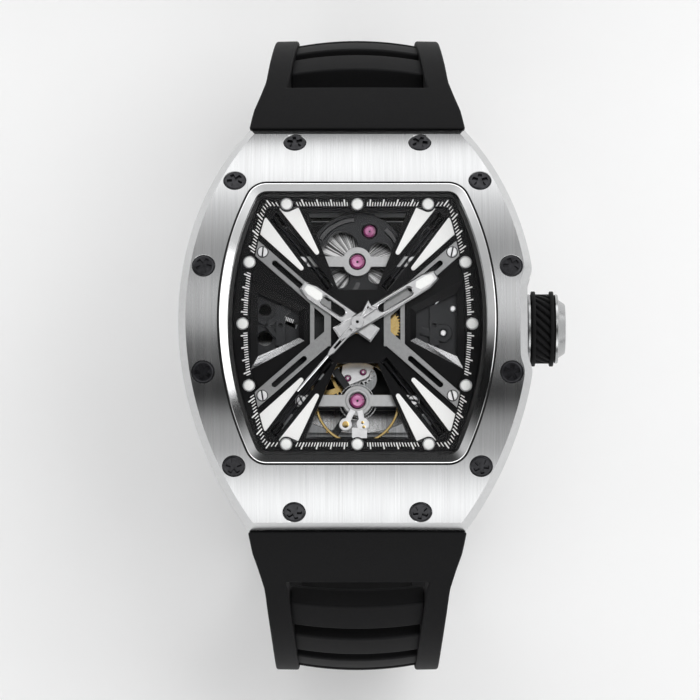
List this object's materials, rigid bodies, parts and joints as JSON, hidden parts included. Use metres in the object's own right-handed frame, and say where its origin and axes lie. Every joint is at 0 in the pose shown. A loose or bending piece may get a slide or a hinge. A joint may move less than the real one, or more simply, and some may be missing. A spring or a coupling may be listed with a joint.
{
  "type": "automatic wristwatch",
  "caption": "Automatic wristwatch with a domed barrel-shaped steel case, an open-worked dial over its wheel train, a fluted crown and a louvred rubber strap.",
  "frame": {"origin": "on the clasp cover's flat outer face, under the hands' axis", "axes": "+Z out of the dial, +Y towards 12 o'clock, +X towards the crown at 3 o'clock"},
  "size_m": [0.0472, 0.081, 0.0564],
  "materials": {
    "case_steel": "brushed",
    "polished_steel": "polished",
    "black_screw": "satin black",
    "sapphire": "clear",
    "gasket_black": "matt",
    "strap_rubber": "matt",
    "dial_black": "satin black",
    "inlay_white": "pearl white",
    "lume_white": "matt",
    "bridge_grey": "fine grained grey",
    "movement_anthracite": "grained anthracite",
    "gilt_brass": "gilt",
    "wheel_steel": "brushed",
    "ruby": "polished"
  },
  "bodies": {
    "watch": {"case_middle": "case_steel", "bezel": "case_steel", "caseback": "case_steel", "crystal": "sapphire", "back_crystal": "sapphire", "front_gasket": "gasket_black", "back_gasket": "gasket_black", "bezel_screws": "black_screw", "caseback_screws": "polished_steel", "crown_tube": "case_steel", "chapter_ring": "dial_black", "hour_markers": "lume_white", "dial_frame": "dial_black", "wedge_inlays": "inlay_white", "side_bridges": "bridge_grey", "dial_screws": "polished_steel", "movement_ring": "movement_anthracite", "main_plate": "movement_anthracite", "barrel_bridge": "movement_anthracite", "barrel_bar": "bridge_grey", "balance_bar": "bridge_grey", "pallet_bridge": "movement_anthracite", "train_bridge": "movement_anthracite", "jewels": "ruby", "regulator": "inlay_white", "strap_upper": "strap_rubber", "strap_lower": "strap_rubber", "strap_screws": "polished_steel", "clasp_cover": "case_steel", "clasp_blades": "case_steel", "clasp_pins": "polished_steel", "movement_screws": "polished_steel", "escape_cock": "polished_steel"},
    "hour": {"hour_hand": "polished_steel", "hour_lume": "lume_white", "hour_wheel": "gilt_brass"},
    "minute": {"minute_hand": "polished_steel", "minute_lume": "lume_white", "cannon_pinion": "gilt_brass", "centre_wheel": "gilt_brass"},
    "seconds": {"seconds_hand": "polished_steel", "fourth_wheel": "gilt_brass"},
    "motion_wheel": {"minute_wheel": "gilt_brass"},
    "going_barrel": {"barrel": "wheel_steel"},
    "third": {"third_wheel": "gilt_brass"},
    "escape": {"escape_wheel": "wheel_steel"},
    "pallets": {"pallet_fork": "wheel_steel"},
    "balance_assembly": {"balance": "gilt_brass", "hairspring": "wheel_steel"},
    "rotor_assembly": {"rotor": "movement_anthracite", "rotor_weight": "wheel_steel"},
    "lever": {"setting_lever": "wheel_steel"},
    "crown_assembly": {"crown": "polished_steel", "crown_grip": "strap_rubber", "stem": "wheel_steel"},
    "crown_gear": {"crown_wheel": "wheel_steel"},
    "ratchet": {"ratchet_wheel": "wheel_steel"},
    "button_left": {"clasp_button_left": "polished_steel"},
    "button_right": {"clasp_button_right": "polished_steel"}
  },
  "joints": [
    {"name": "minute_spin", "type": "hinge", "parent": "watch", "child": "minute", "pos_m": [0, 0, 0.0515], "axis": [0, 0, -1], "continuous": true},
    {"name": "hour_spin", "type": "hinge", "parent": "watch", "child": "hour", "pos_m": [0, 0, 0.0515], "axis": [0, 0, -1], "continuous": true},
    {"name": "seconds_spin", "type": "hinge", "parent": "watch", "child": "seconds", "pos_m": [0, 0, 0.0515], "axis": [0, 0, -1], "continuous": true},
    {"name": "motion_wheel_spin", "type": "hinge", "parent": "watch", "child": "motion_wheel", "pos_m": [0.003, 0, 0.0515], "axis": [0, 0, -1], "continuous": true},
    {"name": "barrel_spin", "type": "hinge", "parent": "watch", "child": "going_barrel", "pos_m": [0, 0.0079, 0.0515], "axis": [0, 0, -1], "continuous": true},
    {"name": "third_spin", "type": "hinge", "parent": "watch", "child": "third", "pos_m": [-0.00421, -0.00354, 0.0515], "axis": [0, 0, -1], "continuous": true},
    {"name": "escape_spin", "type": "hinge", "parent": "watch", "child": "escape", "pos_m": [0.0007, -0.00555, 0.0515], "axis": [0, 0, -1], "continuous": true},
    {"name": "pallet_swing", "type": "hinge", "parent": "watch", "child": "pallets", "pos_m": [-0.00118, -0.0063, 0.0515], "axis": [0, 0, -1], "range_deg": [-5, 5]},
    {"name": "balance_swing", "type": "hinge", "parent": "watch", "child": "balance_assembly", "pos_m": [0, -0.00928, 0.0515], "axis": [0, 0, -1], "range_deg": [-140, 140], "stiffness_Nm_per_rad": 0.000001, "deforming": ["hairspring"]},
    {"name": "rotor_spin", "type": "hinge", "parent": "watch", "child": "rotor_assembly", "pos_m": [0, 0, 0.0515], "axis": [0, 0, -1], "continuous": true},
    {"name": "crown_pull", "type": "slide", "parent": "watch", "child": "lever", "axis": [1, 0, 0], "range_m": [0, 0.0012]},
    {"name": "crown_turn", "type": "hinge", "parent": "lever", "child": "crown_assembly", "pos_m": [0, 0, 0.0471], "axis": [1, 0, 0], "continuous": true},
    {"name": "crown_wheel_spin", "type": "hinge", "parent": "watch", "child": "crown_gear", "pos_m": [0.0065, 0, 0.0515], "axis": [0, 0, 1], "continuous": true},
    {"name": "ratchet_spin", "type": "hinge", "parent": "watch", "child": "ratchet", "pos_m": [0, 0.0079, 0.0515], "axis": [0, 0, 1], "continuous": true},
    {"name": "left_button_press", "type": "slide", "parent": "watch", "child": "button_left", "axis": [1, 0, 0], "range_m": [0, 0.0006], "stiffness_N_per_m": 900, "springref_m": -0.0003},
    {"name": "right_button_press", "type": "slide", "parent": "watch", "child": "button_right", "axis": [-1, 0, 0], "range_m": [0, 0.0006], "stiffness_N_per_m": 900, "springref_m": -0.0003}
  ],
  "couplings": [
    {"joint": "hour_spin", "follows": "minute_spin", "ratio": 0.083333},
    {"joint": "seconds_spin", "follows": "minute_spin", "ratio": 60},
    {"joint": "motion_wheel_spin", "follows": "minute_spin", "ratio": -0.33333},
    {"joint": "barrel_spin", "follows": "minute_spin", "ratio": -0.31579},
    {"joint": "third_spin", "follows": "minute_spin", "ratio": -8},
    {"joint": "escape_spin", "follows": "minute_spin", "ratio": -600},
    {"joint": "crown_wheel_spin", "follows": "crown_turn", "ratio": 0.36842},
    {"joint": "ratchet_spin", "follows": "crown_turn", "ratio": -0.30435}
  ]
}
